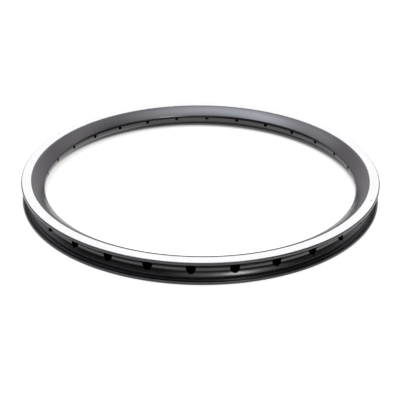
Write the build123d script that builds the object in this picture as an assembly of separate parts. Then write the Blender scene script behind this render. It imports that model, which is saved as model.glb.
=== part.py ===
from build123d import *
import math
import os

os.makedirs("parts", exist_ok=True)

# A hollow double wall bicycle rim for a 20 inch (406) tyre.
# It lies on its lower brake track, with the axle line on Z,
# the centre plane at Z = 0 and the valve hole on +X.
# Sizes are in mm, slopes in degrees from the axle line, and r is the distance from that line.

# Tyre side: the bead seat and the hooked flanges
bead_seat_diameter = 406.0
flange_height = 6.5
lip_thickness = 3.2
lip_outer_round = 1.2
lip_inner_round = 0.8
flange_thickness = 1.9
hook_thickness = 1.9
hook_length = 3.6
seat_corner = 0.3

# Drop centre between the two bead seats: an arc that runs out into straight slopes
well_drop = 4.0
well_radius = 6.5
well_slope = 44.0

# Outside of the section
rim_width = 26.0
rim_depth = 26.9
track_height = 12.5
bed_nose_radius = 6.0

# Walls around the hollow chamber
tyre_wall = 1.3
side_wall = 1.4
bed_wall = 2.2

# Drilled holes, all in the centre plane and square to the axle line
spoke_count = 28
nipple_hole_diameter = 4.5
access_hole_diameter = 10.2
valve_hole_diameter = 6.5

# Wear mark: a drill point dimple in the upper brake track
wear_mark_diameter = 1.8
wear_mark_depth = 0.6
wear_mark_below_lip = 4.7

# Flats that stand for each half of the nose and of the drop centre, close to their arcs
arc_flats = 2

# How far each cutting tool runs past the faces it opens
tool_overrun = 1.0

# Radii and heights that follow from the sizes above
half_width = rim_width / 2
seat_r = bead_seat_diameter / 2
lip_r = seat_r + flange_height
corner_share = 1 - math.tan(math.radians(22.5))
lip_outer_break = lip_outer_round * corner_share
lip_inner_break = lip_inner_round * corner_share
track_outer_r = lip_r - lip_outer_break
track_inner_r = track_outer_r - track_height
bed_r = lip_r - rim_depth
well_r = seat_r - well_drop
hook_z = half_width - lip_thickness
flange_z = half_width - flange_thickness
nose_r = bed_r + bed_nose_radius
well_centre_r = well_r + well_radius

# Slope of the nose where the side walls leave it, each on a straight line to its brake track
nose_to_track = math.hypot(track_inner_r - nose_r, half_width)
track_bearing = math.atan2(half_width, track_inner_r - nose_r)
nose_slope = 90 - math.degrees(track_bearing - math.asin(bed_nose_radius / nose_to_track))


def arc_corners(centre_r, radius, slope):
    """Corners of the flats that touch an arc, from the centre plane up to a slope."""
    step = math.radians(slope) / arc_flats
    reach = radius / math.cos(step / 2)
    turns = [step * (i + 0.5) for i in range(arc_flats)]
    return [(centre_r - reach * math.cos(t), reach * math.sin(t)) for t in turns]


def slope_z(centre_r, radius, slope, r):
    """Height at radius r of the straight slope that touches an arc."""
    t = math.radians(slope)
    return (radius - (centre_r - r) * math.cos(t)) / math.sin(t)


def slope_r(centre_r, radius, slope, z):
    """Radius at height z of the straight slope that touches an arc."""
    t = math.radians(slope)
    return centre_r - (radius - z * math.sin(t)) / math.cos(t)


def ring_face(upper_half):
    """Face of the section whose upper half is given, as x = r and y = height."""
    lower_half = mirror(upper_half, about=Plane.XZ)
    return Plane.XZ * make_face(upper_half.edges() + lower_half.edges())


def radial_tool(diameter, inner_r, outer_r):
    """Drill that lies on +X and cuts from one radius to the other."""
    length = outer_r - inner_r
    drill = Cylinder(diameter / 2, length, align=(Align.CENTER, Align.CENTER, Align.MIN))
    return Pos(inner_r, 0, 0) * Rot(0, 90, 0) * drill


# Outer outline, from the spoke bed over the side wall and the lip to the well
nose_corners = arc_corners(nose_r, bed_nose_radius, nose_slope)
well_corners = arc_corners(well_centre_r, well_radius, well_slope)
seat_end_z = slope_z(well_centre_r, well_radius, well_slope, seat_r)
track_inner = (track_inner_r, half_width)
track_outer = (track_outer_r, half_width)
lip_upper = (lip_r, half_width - lip_outer_break)
lip_lower = (lip_r, hook_z + lip_inner_break)
hook_point = (lip_r - lip_inner_break, hook_z)
hook_end = (lip_r - hook_thickness, hook_z)
hook_root = (lip_r - hook_length, flange_z)
flange_foot = (seat_r + seat_corner, flange_z)
seat_start = (seat_r, flange_z - seat_corner)
seat_end = (seat_r, seat_end_z)
outer_half = Polyline((bed_r, 0), *nose_corners, track_inner)
outer_half += Polyline(track_inner, track_outer, lip_upper, lip_lower, hook_point, hook_end)
outer_half += Polyline(hook_end, hook_root, flange_foot, seat_start, seat_end)
outer_half += Polyline(seat_end, *reversed(well_corners), (well_r, 0))

# Chamber outline, one wall thickness inside the outer outline
chamber_floor_r = bed_r + bed_wall
shoulder_r = seat_r - tyre_wall
ceiling_r = well_r - tyre_wall
chamber_nose = bed_nose_radius - side_wall
ceiling_radius = well_radius + tyre_wall
ceiling_corners = arc_corners(well_centre_r, ceiling_radius, well_slope)
chamber_corner = (chamber_floor_r, slope_z(nose_r, chamber_nose, nose_slope, chamber_floor_r))
side_top = (slope_r(nose_r, chamber_nose, nose_slope, flange_z), flange_z)
shoulder_outer = (shoulder_r, flange_z)
shoulder_inner = (shoulder_r, slope_z(well_centre_r, ceiling_radius, well_slope, shoulder_r))
chamber_half = Polyline((chamber_floor_r, 0), chamber_corner, side_top, shoulder_outer)
chamber_half += Polyline(shoulder_outer, shoulder_inner, *reversed(ceiling_corners), (ceiling_r, 0))

# The hoop: the hollow section turned about the axle line
section = ring_face(outer_half) - ring_face(chamber_half)
hoop = revolve(section, Axis.Z, 360)

# Spoke drilling: a nipple hole in the bed, and a wider access hole outside it
mid_chamber_r = (chamber_floor_r + ceiling_r) / 2
nipple_tool = radial_tool(nipple_hole_diameter, bed_r - tool_overrun, mid_chamber_r)
access_tool = radial_tool(access_hole_diameter, mid_chamber_r, seat_r + tool_overrun)
spoke_pitch = 360 / spoke_count
spoke_angles = [spoke_pitch * (i + 0.5) for i in range(spoke_count)]
drills = [Rot(0, 0, a) * tool for a in spoke_angles for tool in (nipple_tool, access_tool)]

# Valve hole, midway between two spokes
drills.append(radial_tool(valve_hole_diameter, bed_r - tool_overrun, seat_r + tool_overrun))

# Wear mark, on the line of the valve hole so that it is easy to find
wear_mark_r = lip_r - wear_mark_below_lip
wear_tool = Cone(0, wear_mark_diameter / 2, wear_mark_depth)
wear_mark = Pos(wear_mark_r, 0, half_width - wear_mark_depth / 2) * wear_tool
drills.append(wear_mark)

rim = hoop - drills
rim.label = "rim"
export_step(rim, "parts/rim.step")
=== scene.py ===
import math

import bmesh
import bpy
from mathutils import Matrix, Vector


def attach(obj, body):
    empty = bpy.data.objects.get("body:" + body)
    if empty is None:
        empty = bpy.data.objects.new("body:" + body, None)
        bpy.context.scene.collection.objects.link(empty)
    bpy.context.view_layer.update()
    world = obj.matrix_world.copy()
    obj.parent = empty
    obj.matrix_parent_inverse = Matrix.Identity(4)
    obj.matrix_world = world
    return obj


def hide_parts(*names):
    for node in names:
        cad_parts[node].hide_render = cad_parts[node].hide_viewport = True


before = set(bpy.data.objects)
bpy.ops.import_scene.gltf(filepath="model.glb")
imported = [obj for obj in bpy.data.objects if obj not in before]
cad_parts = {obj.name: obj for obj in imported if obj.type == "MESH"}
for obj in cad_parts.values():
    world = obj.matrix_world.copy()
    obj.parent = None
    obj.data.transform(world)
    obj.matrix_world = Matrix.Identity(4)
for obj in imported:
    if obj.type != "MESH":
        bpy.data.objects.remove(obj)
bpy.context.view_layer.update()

# A hollow bicycle rim lies on a white table, with its axle line on Z.
# Sizes of the rim are in millimetres, and r is the distance from the axle line.
MM = 0.001

# Sizes that are the same as in the solid part
SPOKES = 28
HALF_WIDTH = 13.0
LIP_R = 209.5
LIP_OUTER = 1.2
LIP_INNER = 0.8
HOOK_Z = 9.8
HOOK_THICKNESS = 1.9
HOOK_LENGTH = 3.6
FLANGE_Z = 11.1
SEAT_R = 203.0
WELL_R = 199.0
WELL = 6.5
WELL_SLOPE = math.radians(44)
TRACK_INNER_R = 196.3
BED_R = 182.6
NOSE = 6.0
TYRE_WALL = 1.3
SIDE_WALL = 1.4
BED_WALL = 2.2
NIPPLE_HOLE = 2.25
ACCESS_HOLE = 5.1
VALVE_HOLE = 3.25
WEAR_MARK_R = 204.8
WEAR_MARK = 0.9
WEAR_MARK_DEPTH = 0.6

# Where the turned finish of a brake track starts
TURNED_R = 198.0

# Each side wall swells a little, and reaches in past the solid's edge of the track
SIDE_BULGE = 0.42
BULGE_RUN = 14.77
TRACK_EDGE_R = TRACK_INNER_R - 0.5

# Rounds of the corners, and the broken edges of the holes
TRACK_EDGE_ROUND = 0.12
HOOK_ROUND = 0.3
HOOK_ROOT_ROUND = 0.8
SEAT_CORNER_ROUND = 0.4
SEAT_EDGE_ROUND = 0.9
CHAMBER_ROUND = 0.8
SHOULDER_ROUND = 0.5
HOLE_EDGE = 0.12

# Half heights of the strips of the bed and of the well that the spoke holes go through
BED_HALF = 3.2
WELL_HALF = 5.6

# How finely the hoop is divided: faces across half a spoke pitch, up a drilled strip,
# across a brake track, up the nose, up a side wall and round each edge of the lip
ACROSS = 6
UP = 12
TRACK_RINGS = 6
NOSE_STEPS = 5
WALL_STEPS = 7
LIP_STEPS = 6

# Rings of faces from the rim of a hole, and of the wear mark, out to the border of its strip
HOLE_RINGS = (0.0, 0.06, 0.15, 0.3, 0.5, 0.75, 1.0)
MARK_RINGS = (0.0, 0.1, 0.4, 1.0)

# Points closer than this are one point, and edges that turn more than this are sharp
WELD = 0.004 * MM
SHARP_TURN = math.radians(28)

# Sizes that follow from those above
PITCH = 2 * math.pi / SPOKES
NOSE_R = BED_R + NOSE
WELL_CENTRE_R = WELL_R + WELL
CHAMBER_FLOOR_R = BED_R + BED_WALL
SHOULDER_R = SEAT_R - TYRE_WALL
CEILING = WELL + TYRE_WALL
CHAMBER_NOSE = NOSE - SIDE_WALL
NOSE_SLOPE = math.pi / 2 - math.atan2(HALF_WIDTH, TRACK_INNER_R - NOSE_R)
NOSE_SLOPE += math.asin(NOSE / math.hypot(TRACK_INNER_R - NOSE_R, HALF_WIDTH))


def slope_z(centre_r, radius, slope, r):
    """Height at radius r of the straight slope that touches an arc."""
    return (radius - (centre_r - r) * math.cos(slope)) / math.sin(slope)


def slope_r(centre_r, radius, slope, z):
    """Radius at height z of the straight slope that touches an arc."""
    return centre_r - (radius - z * math.sin(slope)) / math.cos(slope)


def nose_r(z):
    """Radius of the spoke bed at a height."""
    return NOSE_R - math.sqrt(NOSE * NOSE - z * z)


def floor_r(z):
    """Radius of the chamber's floor, the same at every height."""
    return CHAMBER_FLOOR_R


def well_r(radius):
    """Radius of the well, or of the wall below it, as a function of height."""
    def at(z):
        if abs(z) < radius * math.sin(WELL_SLOPE):
            return WELL_CENTRE_R - math.sqrt(radius * radius - z * z)
        return slope_r(WELL_CENTRE_R, radius, WELL_SLOPE, abs(z))
    return at


def rounded(points, arc_steps=4):
    """Outline through (r, z, radius) corners, each replaced by an arc of its radius."""
    out = []
    for i, (r, z, radius) in enumerate(points):
        here = Vector((r, z))
        if radius == 0 or i in (0, len(points) - 1):
            out.append(here)
            continue
        before = (Vector(points[i - 1][:2]) - here).normalized()
        after = (Vector(points[i + 1][:2]) - here).normalized()
        half = before.angle(after) / 2
        run = radius / math.tan(half)
        centre = here + (before + after).normalized() * (radius / math.sin(half))
        start = here + before * run - centre
        end = here + after * run - centre
        turn = start.angle_signed(end)
        for k in range(arc_steps + 1):
            out.append(centre + Matrix.Rotation(-turn * k / arc_steps, 2) @ start)
    return out


def side_half():
    """Upper half of the outside, from the spoke bed over the side wall to the turned track."""
    first = math.asin(BED_HALF / NOSE)
    last = NOSE_SLOPE - 2 * math.atan(2 * SIDE_BULGE / BULGE_RUN)
    turns = [first + (last - first) * k / NOSE_STEPS for k in range(NOSE_STEPS + 1)]
    points = [(NOSE_R - NOSE * math.cos(t), NOSE * math.sin(t), 0) for t in turns]
    start = Vector(points[-1][:2])
    run = Vector((TRACK_EDGE_R, HALF_WIDTH)) - start
    out = Vector((-run.y, run.x)).normalized()
    for k in range(1, WALL_STEPS):
        u = k / WALL_STEPS
        point = start + run * u + out * (4 * SIDE_BULGE * u * (1 - u))
        points.append((point.x, point.y, 0))
    points.append((TRACK_EDGE_R, HALF_WIDTH, TRACK_EDGE_ROUND))
    points.append((TURNED_R, HALF_WIDTH, 0))
    return rounded(points)


def lip_half():
    """Upper half of the tyre side, from the lip over the hook and the bead seat to the well."""
    points = []
    for radius, z, start in (
        (LIP_OUTER, HALF_WIDTH - LIP_OUTER, math.pi / 2),
        (LIP_INNER, HOOK_Z + LIP_INNER, 0),
    ):
        for k in range(LIP_STEPS + 1):
            t = start - math.pi / 2 * k / LIP_STEPS
            r = LIP_R - radius + radius * math.cos(t)
            points.append((r, z + radius * math.sin(t), 0))
    seat_end_z = slope_z(WELL_CENTRE_R, WELL, WELL_SLOPE, SEAT_R)
    return rounded(points + [
        (LIP_R - HOOK_THICKNESS, HOOK_Z, HOOK_ROUND),
        (LIP_R - HOOK_LENGTH, FLANGE_Z, HOOK_ROOT_ROUND),
        (SEAT_R, FLANGE_Z, SEAT_CORNER_ROUND),
        (SEAT_R, seat_end_z, SEAT_EDGE_ROUND),
        (well_r(WELL)(WELL_HALF), WELL_HALF, 0),
    ])


def chamber_half():
    """Upper half of the chamber, from the edge of its flat floor to the ceiling."""
    floor_z = slope_z(NOSE_R, CHAMBER_NOSE, NOSE_SLOPE, CHAMBER_FLOOR_R)
    side_r = slope_r(NOSE_R, CHAMBER_NOSE, NOSE_SLOPE, FLANGE_Z)
    shoulder_z = slope_z(WELL_CENTRE_R, CEILING, WELL_SLOPE, SHOULDER_R)
    return rounded([
        (CHAMBER_FLOOR_R, 0, 0),
        (CHAMBER_FLOOR_R, floor_z, CHAMBER_ROUND),
        (side_r, FLANGE_Z, CHAMBER_ROUND),
        (SHOULDER_R, FLANGE_Z, SHOULDER_ROUND),
        (SHOULDER_R, shoulder_z, SHOULDER_ROUND),
        (well_r(CEILING)(WELL_HALF), WELL_HALF, 0),
    ], 2)[1:]


side_outline = side_half()
lip_outline = lip_half()
chamber_outline = chamber_half()
track_width = lip_outline[0].x - TURNED_R
track_outline = [
    Vector((TURNED_R + track_width * k / TRACK_RINGS, HALF_WIDTH))
    for k in range(TRACK_RINGS + 1)
]


class Pitch:
    """One spoke pitch of the hoop: a blank half on the valve line, then a drilled half."""

    def __init__(self):
        self.mesh = bmesh.new()
        self.turned = self.mesh.faces.layers.bool.new("turned")

    def face(self, corners, turned=False):
        verts = [self.mesh.verts.new(Vector(c) * MM) for c in corners]
        self.mesh.faces.new(verts)[self.turned] = turned

    def loft(self, loops, closed=True, turned=False):
        """Quads between each loop of points and the next."""
        for a, b in zip(loops, loops[1:]):
            n = len(a)
            for i in range(n if closed else n - 1):
                j = (i + 1) % n
                self.face([a[i], a[j], b[j], b[i]], turned)

    def angles(self, middle):
        """Angles of the edges across half a pitch."""
        return [middle + PITCH / 2 * (k / ACROSS - 0.5) for k in range(ACROSS + 1)]

    def band(self, outline, side, middle, turned=False):
        """Half a pitch of a turned face, on the upper (1) or lower (-1) side."""
        rings = []
        for p in outline:
            ring = [(p.x * math.cos(a), p.x * math.sin(a), side * p.y) for a in self.angles(middle)]
            rings.append(ring)
        self.loft(rings, False, turned)

    def strip(self, radius, half, middle, hole=None):
        """Half a pitch of a wall whose radius depends on height, drilled or blank.

        Returns the points around the broken edge of its hole, and those of the bore.
        """
        c, s = math.cos(middle), math.sin(middle)
        ends = [math.sin(a) for a in self.angles(0.0)]
        heights = [half * (2 * k / UP - 1) for k in range(UP + 1)]

        def reach(t, z):
            return math.sqrt(radius(z) ** 2 - t * t)

        def at(t, z):
            x = reach(t, z)
            return (x * c - t * s, x * s + t * c, z)

        if hole is None:
            self.loft([[at(radius(z) * e, z) for e in ends] for z in heights], False)
            return None
        border = [(radius(half) * e, -half) for e in ends[:-1]]
        border += [(radius(z) * ends[-1], z) for z in heights[:-1]]
        border += [(-t, -z) for t, z in border]
        steps = len(border)
        first = ACROSS + UP / 2
        turns = [2 * math.pi * (k - first) / steps for k in range(steps)]
        edge = hole + HOLE_EDGE
        rim = [(edge * math.cos(a), edge * math.sin(a)) for a in turns]
        loops = []
        for share in HOLE_RINGS:
            mixed = [Vector(p).lerp(Vector(q), share) for p, q in zip(rim, border)]
            loops.append([at(p.x, p.y) for p in mixed])
        self.loft(loops)
        bore = [(hole * math.cos(a), hole * math.sin(a)) for a in turns]
        return loops[0], [(reach(t, z), t, z) for t, z in bore]

    def drill(self, outer, inner, middle):
        """Wall of a drilled hole, with its edges broken, between two drilled faces."""
        c, s = math.cos(middle), math.sin(middle)

        def ring(bore, shift):
            return [((x + shift) * c - t * s, (x + shift) * s + t * c, z) for x, t, z in bore]

        self.loft([outer[0], ring(outer[1], -HOLE_EDGE), ring(inner[1], HOLE_EDGE), inner[0]])

    def wear_mark(self, middle):
        """Brake track face with a drill point dimple in it."""
        angles = self.angles(middle)
        radii = [p.x for p in track_outline]
        corners = [(radii[0], a) for a in angles[:-1]] + [(r, angles[-1]) for r in radii[:-1]]
        corners += [(radii[-1], a) for a in angles[:0:-1]] + [(r, angles[0]) for r in radii[:0:-1]]

        def at(r, a):
            return Vector((r * math.cos(a), r * math.sin(a), HALF_WIDTH))

        border = [at(r, a) for r, a in corners]
        centre = at(WEAR_MARK_R, middle)
        depth = Vector((0, 0, WEAR_MARK_DEPTH))
        rim = [centre + (p - centre).normalized() * WEAR_MARK for p in border]
        loops = [[p.lerp(q, share) for p, q in zip(rim, border)] for share in MARK_RINGS]
        self.loft(loops, True, True)
        half_way = [p.lerp(centre, 0.5) - depth / 2 for p in rim]
        self.loft([rim, half_way])
        for p, q in zip(half_way, half_way[1:] + half_way[:1]):
            self.face([p, q, centre - depth])

    def half_pitch(self, middle, bed_hole, well_hole, marked=False):
        """All faces of half a pitch, drilled where holes are given."""
        for side in (1, -1):
            self.band(side_outline, side, middle)
            self.band(lip_outline, side, middle)
            self.band(chamber_outline, side, middle)
            if marked and side == 1:
                self.wear_mark(middle)
            else:
                self.band(track_outline, side, middle, True)
        bed = self.strip(nose_r, BED_HALF, middle, bed_hole)
        floor = self.strip(floor_r, chamber_outline[0].y, middle, bed_hole)
        ceiling = self.strip(well_r(CEILING), WELL_HALF, middle, well_hole)
        well = self.strip(well_r(WELL), WELL_HALF, middle, well_hole)
        if bed_hole:
            self.drill(floor, bed, middle)
            self.drill(well, ceiling, middle)

    def done(self, name):
        """Welded mesh object of the pitch."""
        bmesh.ops.remove_doubles(self.mesh, verts=self.mesh.verts, dist=WELD)
        bmesh.ops.recalc_face_normals(self.mesh, faces=self.mesh.faces)
        data = bpy.data.meshes.new(name)
        self.mesh.to_mesh(data)
        self.mesh.free()
        return place(name, data)


def place(name, data):
    """New object in the scene."""
    made = bpy.data.objects.new(name, data)
    bpy.context.collection.objects.link(made)
    return made


def spoke_pitch(name, marked):
    pitch = Pitch()
    pitch.half_pitch(0.0, None, None, marked)
    pitch.half_pitch(PITCH / 2, NIPPLE_HOLE, ACCESS_HOLE)
    return pitch.done(name)


def new_tree(name, kind, inputs, output):
    """Empty node tree with inputs given as (name, socket type, value) and one output."""
    tree = bpy.data.node_groups.new(name, kind)
    for label, socket, value in inputs:
        made = tree.interface.new_socket(label, in_out="INPUT", socket_type=socket)
        if value is not None:
            made.default_value = value
    label, socket = output
    tree.interface.new_socket(label, in_out="OUTPUT", socket_type=socket)
    return tree


def add(tree, kind, inputs=None, **settings):
    """Node with its settings, each input linked to a socket or set to a plain value."""
    node = tree.nodes.new(kind)
    for key, value in settings.items():
        setattr(node, key, value)
    for key, source in (inputs or {}).items():
        if isinstance(source, bpy.types.NodeSocket):
            tree.links.new(source, node.inputs[key])
        else:
            node.inputs[key].default_value = source
    return node


def calc(tree, operation, *sources):
    """Result of a Math node on sockets and plain values."""
    return add(tree, "ShaderNodeMath", dict(enumerate(sources)), operation=operation).outputs[0]


def vector_calc(tree, operation, *sources):
    """Result of a Vector Math node on sockets and plain values."""
    node = add(tree, "ShaderNodeVectorMath", dict(enumerate(sources)), operation=operation)
    gives_number = operation in ("LENGTH", "DISTANCE", "DOT_PRODUCT")
    return node.outputs["Value" if gives_number else "Vector"]


def ramp(tree, source, start, end, low, high, kind="SMOOTHSTEP"):
    """Value that goes from low to high while the source goes from start to end."""
    return add(tree, "ShaderNodeMapRange", {
        "Value": source, "From Min": start, "From Max": end, "To Min": low, "To Max": high,
    }, interpolation_type=kind).outputs[0]


def hoop_tree():
    """Spoke pitches set round a circle, joined, and drilled for the valve."""
    tree = new_tree("hoop of spoke pitches", "GeometryNodeTree", [
        ("Plain pitch", "NodeSocketObject", None),
        ("Marked pitch", "NodeSocketObject", None),
        ("Spokes", "NodeSocketInt", SPOKES),
        ("Valve hole radius", "NodeSocketFloat", VALVE_HOLE * MM),
        ("Valve hole centre", "NodeSocketFloat", 0.19),
        ("Valve drill length", "NodeSocketFloat", 0.03),
        ("Anodised", "NodeSocketMaterial", None),
        ("Turned", "NodeSocketMaterial", None),
    ], ("Geometry", "NodeSocketGeometry"))
    given = add(tree, "NodeGroupInput").outputs

    # One point for each spoke pitch, with its turn about the axle line
    points = add(tree, "GeometryNodePoints", {"Count": given["Spokes"]}).outputs[0]
    index = add(tree, "GeometryNodeInputIndex").outputs[0]
    step = calc(tree, "DIVIDE", 2 * math.pi, given["Spokes"])
    angle = calc(tree, "MULTIPLY", index, step)
    turn = add(tree, "ShaderNodeCombineXYZ", {"Z": angle}).outputs[0]

    # The marked pitch goes on the first point and the plain one on the others
    first = add(tree, "FunctionNodeCompare", {2: index, 3: 0}, data_type="INT", operation="EQUAL")
    others = add(tree, "FunctionNodeBooleanMath", {0: first.outputs[0]}, operation="NOT")
    joined = add(tree, "GeometryNodeJoinGeometry")
    for label, chosen in (("Plain pitch", others), ("Marked pitch", first)):
        source = add(tree, "GeometryNodeObjectInfo", {"Object": given[label]})
        placed = add(tree, "GeometryNodeInstanceOnPoints", {
            "Points": points,
            "Selection": chosen.outputs[0],
            "Instance": source.outputs["Geometry"],
            "Rotation": turn,
        })
        tree.links.new(placed.outputs[0], joined.inputs[0])
    real = add(tree, "GeometryNodeRealizeInstances", {0: joined.outputs[0]})
    welded = add(tree, "GeometryNodeMergeByDistance", {
        "Geometry": real.outputs[0], "Distance": WELD,
    })

    # Valve hole, along X
    drill = add(tree, "GeometryNodeMeshCylinder", {
        "Vertices": 40,
        "Radius": given["Valve hole radius"],
        "Depth": given["Valve drill length"],
    })
    centre = add(tree, "ShaderNodeCombineXYZ", {"X": given["Valve hole centre"]})
    laid = add(tree, "GeometryNodeTransform", {
        "Geometry": drill.outputs["Mesh"],
        "Translation": centre.outputs[0],
        "Rotation": (0, math.pi / 2, 0),
    })
    drilled = add(tree, "GeometryNodeMeshBoolean", {
        "Mesh 1": welded.outputs[0], "Mesh 2": laid.outputs[0],
    }, operation="DIFFERENCE", solver="EXACT")
    whole = add(tree, "GeometryNodeRealizeInstances", {0: drilled.outputs["Mesh"]})

    # Dark finish all over, then the turned finish on the brake tracks
    dark = add(tree, "GeometryNodeSetMaterial", {
        "Geometry": whole.outputs[0], "Material": given["Anodised"],
    })
    flag = add(tree, "GeometryNodeInputNamedAttribute", {"Name": "turned"}, data_type="BOOLEAN")
    bright = add(tree, "GeometryNodeSetMaterial", {
        "Geometry": dark.outputs[0],
        "Selection": flag.outputs["Attribute"],
        "Material": given["Turned"],
    })
    add(tree, "NodeGroupOutput", {0: bright.outputs[0]})
    return tree


def new_material(name):
    material = bpy.data.materials.new(name)
    material.use_nodes = True
    tree = material.node_tree
    shader = next(n for n in tree.nodes if n.type == "BSDF_PRINCIPLED")
    return material, tree, shader


def round_grain_group():
    """Grain that runs round the hoop: fine across the section, long along the circumference."""
    tree = new_tree("grain round the hoop", "ShaderNodeTree", [
        ("Lines per metre", "NodeSocketFloat", 2500.0),
        ("Waves round", "NodeSocketFloat", 6.0),
        ("Low", "NodeSocketFloat", 0.0),
        ("High", "NodeSocketFloat", 1.0),
    ], ("Value", "NodeSocketFloat"))
    given = add(tree, "NodeGroupInput").outputs
    spot = add(tree, "ShaderNodeTexCoord").outputs["Object"]
    height = add(tree, "ShaderNodeSeparateXYZ", {0: spot}).outputs["Z"]
    flat = vector_calc(tree, "MULTIPLY", spot, (1, 1, 0))
    way = vector_calc(tree, "NORMALIZE", flat)
    ways = add(tree, "ShaderNodeSeparateXYZ", {0: way}).outputs
    across = calc(tree, "ADD", vector_calc(tree, "LENGTH", flat), height)
    grid = add(tree, "ShaderNodeCombineXYZ", {
        "X": calc(tree, "MULTIPLY", ways["X"], given["Waves round"]),
        "Y": calc(tree, "MULTIPLY", ways["Y"], given["Waves round"]),
        "Z": calc(tree, "MULTIPLY", across, given["Lines per metre"]),
    })
    noise = add(tree, "ShaderNodeTexNoise", {
        "Vector": grid.outputs[0], "Scale": 1.0, "Detail": 2.0, "Roughness": 0.55,
    })
    value = ramp(tree, noise.outputs["Fac"], 0.3, 0.7, given["Low"], given["High"], "LINEAR")
    add(tree, "NodeGroupOutput", {0: value})
    return tree


def use_grain(tree, group, lines, waves, low=0.0, high=1.0):
    """Value of the grain group, placed in a material with its own settings."""
    return add(tree, "ShaderNodeGroup", {
        "Lines per metre": lines, "Waves round": waves, "Low": low, "High": high,
    }, node_tree=group).outputs["Value"]


def grain_bump(tree, shader, height, strength):
    """Fine ridges of the grain on the surface."""
    bump = add(tree, "ShaderNodeBump", {
        "Strength": strength, "Distance": 0.0001, "Height": height,
    })
    tree.links.new(bump.outputs[0], shader.inputs["Normal"])


# Colours of the two finishes
ANODISED = (0.0062, 0.006, 0.007, 1)
BARE = (0.81, 0.825, 0.81, 1)

# Small nick on the inner edge of the upper track: its turn, where it is bare, and where it ends
NICK_TURN = math.radians(123.6)
NICK = tuple(MM * v for v in (
    TRACK_INNER_R * math.cos(NICK_TURN), TRACK_INNER_R * math.sin(NICK_TURN), HALF_WIDTH,
))
NICK_BARE = 0.5 * MM
NICK_END = 0.9 * MM


def anodised_material(grain):
    """Satin dark grey anodising on an extruded surface, nicked to bare metal at one place."""
    material, tree, shader = new_material("dark anodised")
    shader.inputs["IOR"].default_value = 1.82
    shader.inputs["Specular Tint"].default_value = (0.97, 0.96, 1.0, 1)
    spot = add(tree, "ShaderNodeTexCoord").outputs["Object"]
    off = vector_calc(tree, "DISTANCE", spot, NICK)
    bare = ramp(tree, off, NICK_BARE, NICK_END, 1.0, 0.0, "LINEAR")
    tree.links.new(bare, shader.inputs["Metallic"])
    colour = add(tree, "ShaderNodeMix", {"Factor": bare, 6: ANODISED, 7: BARE}, data_type="RGBA")
    tree.links.new(colour.outputs[2], shader.inputs["Base Color"])
    satin = use_grain(tree, grain, 900.0, 9.0, 0.2, 0.25)
    tree.links.new(satin, shader.inputs["Roughness"])
    die_lines = use_grain(tree, grain, 6000.0, 3.0)
    grain_bump(tree, shader, die_lines, 0.04)
    return material


def turned_material(grain):
    """Bare aluminium, turned to a fine concentric finish."""
    material, tree, shader = new_material("turned aluminium")
    shader.inputs["Base Color"].default_value = BARE
    shader.inputs["Metallic"].default_value = 0.5
    cut = use_grain(tree, grain, 5000.0, 2.0, 0.24, 0.36)
    tree.links.new(cut, shader.inputs["Roughness"])
    ridges = use_grain(tree, grain, 12000.0, 1.5)
    grain_bump(tree, shader, ridges, 0.08)
    return material


def hoop_shape():
    """Mesh of the whole hoop, with its materials."""
    grain = round_grain_group()
    chosen = {
        "Plain pitch": spoke_pitch("plain spoke pitch", False),
        "Marked pitch": spoke_pitch("marked spoke pitch", True),
        "Anodised": anodised_material(grain),
        "Turned": turned_material(grain),
    }
    tree = hoop_tree()
    maker = place("hoop maker", bpy.data.meshes.new("hoop maker"))
    modifier = maker.modifiers.new("hoop", "NODES")
    modifier.node_group = tree
    for item in tree.interface.items_tree:
        if item.name in chosen:
            modifier[item.identifier] = chosen[item.name]
    bpy.context.view_layer.update()
    made = maker.evaluated_get(bpy.context.evaluated_depsgraph_get())
    mesh = bpy.data.meshes.new_from_object(made)
    mesh.name = "rim_hoop"
    for spare in (maker, chosen["Plain pitch"], chosen["Marked pitch"]):
        bpy.data.objects.remove(spare)

    shape = bmesh.new()
    shape.from_mesh(mesh)
    bmesh.ops.recalc_face_normals(shape, faces=shape.faces)
    shape.to_mesh(mesh)
    shape.free()
    mesh.polygons.foreach_set("use_smooth", [True] * len(mesh.polygons))
    mesh.set_sharp_from_angle(angle=SHARP_TURN)
    return mesh


hoop = place("rim_hoop", hoop_shape())
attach(hoop, "root")
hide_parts("rim")

# Turn of the photographed view about the axle line, in degrees.
# Turns of lights and of places on the table are counted in that view, from its right hand side.
VIEW_TURN = 21.886


def toward(turn, height=0.0):
    """Unit vector at a turn and a height in degrees."""
    turn, height = math.radians(turn), math.radians(height)
    level = math.cos(height)
    return Vector((math.cos(turn) * level, math.sin(turn) * level, math.sin(height)))


# Table: its half size in metres, its own grey, and the colour and strengths that lift it to white,
# the weaker one near the rim for a painted shadow
TABLE_HALF = 5.0
TABLE_GREY = (0.55, 0.545, 0.535, 1)
TABLE_WHITE = (1, 0.995, 0.98, 1)
PAINTED_SHADOW_LIFT = 0.09
LIFT_FAR = 0.65

# The lift fades in from 3 to 11 mm off a ring under the rim, which is slid a little to one side.
# This is painted shadow: it adds to the table's real shadow, and deepens it toward that side.
SHADOW_R = 0.198
SHADOW_START = 0.003
SHADOW_END = 0.011
SHADOW_SLIDE = 0.003
SHADOW_TURN = 40

# Share of the lift that the rim mirrors, and the two sides where it rises to all of it,
# each as a turn and the distances between which it rises. The brighter sides are painted light: the
# rim's reflections of the table grow lighter toward them.
MIRRORED = 0.55
PAINTED_BRIGHT_REFLECTION_SIDES = ((154, 0.13, 0.165), (-37, 0.19, 0.215))


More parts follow.
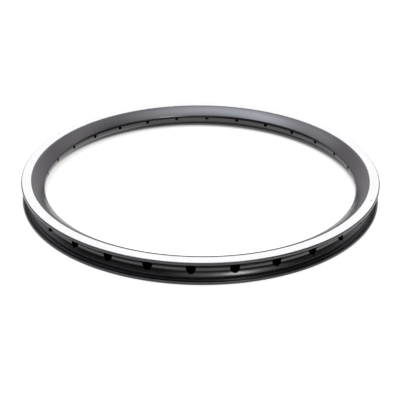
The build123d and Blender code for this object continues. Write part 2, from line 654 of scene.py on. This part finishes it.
def white_table_material():
    """Grey table that is white to the camera, and partly to mirror rays, but not by the rim, where
    a painted shadow darkens it; mirror rays see it brighter on two sides as painted light.
    """
    material, tree, shader = new_material("white table")
    shader.inputs["Base Color"].default_value = TABLE_GREY
    shader.inputs["Roughness"].default_value = 0.9
    shader.inputs["Specular IOR Level"].default_value = 0.0
    shader.inputs["Emission Color"].default_value = TABLE_WHITE
    rays = add(tree, "ShaderNodeLightPath").outputs
    spot = add(tree, "ShaderNodeTexCoord").outputs["Object"]

    # Which rays see the table lifted; mirror rays see more of it on two sides, a painted brighter
    # reflection there
    sides = []
    for turn, start, end in PAINTED_BRIGHT_REFLECTION_SIDES:
        along = vector_calc(tree, "DOT_PRODUCT", spot, toward(turn + VIEW_TURN))
        sides.append(ramp(tree, along, start, end, MIRRORED, 1.0))
    share = calc(tree, "MAXIMUM", *sides)
    mirror = calc(tree, "MAXIMUM", rays["Is Glossy Ray"], rays["Is Transmission Ray"])
    seen = calc(tree, "MAXIMUM", rays["Is Camera Ray"], calc(tree, "MULTIPLY", mirror, share))

    # How far the table is lifted, by the distance from the ring under the rim; the small lift close
    # to the ring paints shadow there
    slide = toward(SHADOW_TURN + VIEW_TURN) * SHADOW_SLIDE
    flat = vector_calc(tree, "MULTIPLY", vector_calc(tree, "ADD", spot, slide), (1, 1, 0))
    past = calc(tree, "SUBTRACT", vector_calc(tree, "LENGTH", flat), SHADOW_R)
    away = calc(tree, "ABSOLUTE", past)
    white = ramp(tree, away, SHADOW_START, SHADOW_END, PAINTED_SHADOW_LIFT, LIFT_FAR)
    lift = calc(tree, "MULTIPLY", seen, white)
    tree.links.new(lift, shader.inputs["Emission Strength"])
    return material


# White table that the rim lies on
table_mesh = bpy.data.meshes.new("table")
table_corners = [(-1, -1), (1, -1), (1, 1), (-1, 1)]
table_mesh.from_pydata(
    [(x * TABLE_HALF, y * TABLE_HALF, -HALF_WIDTH * MM) for x, y in table_corners],
    [], [(0, 1, 2, 3)],
)
table_mesh.materials.append(white_table_material())
table = place("table", table_mesh)

# Camera of the photographed view: place in metres, downward slope and roll in degrees, lens in mm
EYE = Vector((-0.00033, -0.97838, 0.49546))
DOWN = 28.17
ROLL = math.radians(0.42)
LENS = 82.87


def view_camera():
    """Camera on the view's near side, looking down at the rim."""
    about_axle = Matrix.Rotation(math.radians(VIEW_TURN), 3, "Z")
    back = toward(-90, DOWN)
    right = Vector((1, 0, 0))
    up = back.cross(right)
    rolled_right = right * math.cos(ROLL) + up * math.sin(ROLL)
    rolled_up = up * math.cos(ROLL) - right * math.sin(ROLL)
    axes = Matrix([about_axle @ v for v in (rolled_right, rolled_up, back)]).transposed()
    data = bpy.data.cameras.new("camera")
    data.lens = LENS
    data.sensor_width = 36.0
    data.clip_start = 0.05
    camera = place("camera", data)
    camera.matrix_world = Matrix.Translation(about_axle @ EYE) @ axes.to_4x4()
    return camera


bpy.context.scene.camera = view_camera()

# Soft box overhead: its colour and strength, and its outer and inner limits on both sides,
# as slopes from straight up along X and Y of the view
PANEL = (4.35, 4.5, 4.85, 1)
PANEL_X = (-1.0, -0.4, -0.25, 0.75)
PANEL_Y = (-0.52, -0.12, -0.03, 0.38)

# Tint of the room's back wall
ROOM = (1.0, 0.955, 1.0, 1)

# Round lamps: turn, height and spread in degrees, strength, tint
LAMPS = (
    (-59, 54, 7, 13.5, (1.0, 1.0, 1.0, 1)),
    (-60, 62, 34, 1.0, (1.0, 0.93, 0.88, 1)),
    (-90, 10, 24, 0.2, (1.0, 1.0, 1.0, 1)),
    (90, 29, 30, 0.34, (1.0, 1.0, 1.0, 1)),
    (25, 53, 30, 0.6, (1.0, 0.98, 0.96, 1)),
    (155, 54, 27, 1.35, (0.96, 0.98, 1.0, 1)),
)


def studio_world():
    """Soft box overhead, round lamps, a pale back wall and a dim room behind the camera."""
    world = bpy.data.worlds.new("studio")
    world.use_nodes = True
    tree = world.node_tree
    background = next(n for n in tree.nodes if n.type == "BACKGROUND")
    sky = add(tree, "ShaderNodeTexCoord").outputs["Generated"]
    aim = add(tree, "ShaderNodeMapping", {
        "Vector": sky, "Rotation": (0, 0, -math.radians(VIEW_TURN)),
    }).outputs[0]
    parts = add(tree, "ShaderNodeSeparateXYZ", {0: aim}).outputs
    above = calc(tree, "MAXIMUM", parts["Z"], 0.05)

    def blend(kind, first, second):
        inputs = {"Factor": 1.0, 6: first, 7: second}
        return add(tree, "ShaderNodeMix", inputs, data_type="RGBA", blend_type=kind).outputs[2]

    def panel_share(axis, limits):
        """Share of the soft box along one axis."""
        slope = calc(tree, "DIVIDE", parts[axis], above)
        rise = ramp(tree, slope, limits[0], limits[1], 0.0, 1.0)
        fall = ramp(tree, slope, limits[2], limits[3], 1.0, 0.0)
        return blend("MULTIPLY", rise, fall)

    # The room is dim toward the camera and pale at the back, a little more so higher up
    room = ramp(tree, parts["Y"], 0.0, 0.45, 0.07, 1.0)
    wall = ramp(tree, parts["Z"], 0.0, 0.25, 0.72, 0.84)
    light = blend("MULTIPLY", blend("MULTIPLY", room, wall), ROOM)
    panel = blend("MULTIPLY", panel_share("X", PANEL_X), panel_share("Y", PANEL_Y))
    light = blend("ADD", light, blend("MULTIPLY", panel, PANEL))
    for turn, height, spread, strength, tint in LAMPS:
        facing = vector_calc(tree, "DOT_PRODUCT", aim, toward(turn, height))
        glow = ramp(tree, facing, math.cos(math.radians(spread)), 1.0, 0.0, strength)
        light = blend("ADD", light, blend("MULTIPLY", glow, tint))

    # To the camera the room is plain white
    camera_ray = add(tree, "ShaderNodeLightPath").outputs["Is Camera Ray"]
    shown = add(tree, "ShaderNodeMix", {
        "Factor": camera_ray, 6: light, 7: (1.0, 1.0, 1.0, 1),
    }, data_type="RGBA")
    tree.links.new(shown.outputs[2], background.inputs["Color"])
    background.inputs["Strength"].default_value = 1.0
    return world


bpy.context.scene.world = studio_world()
bpy.context.scene.view_settings.view_transform = "Standard"
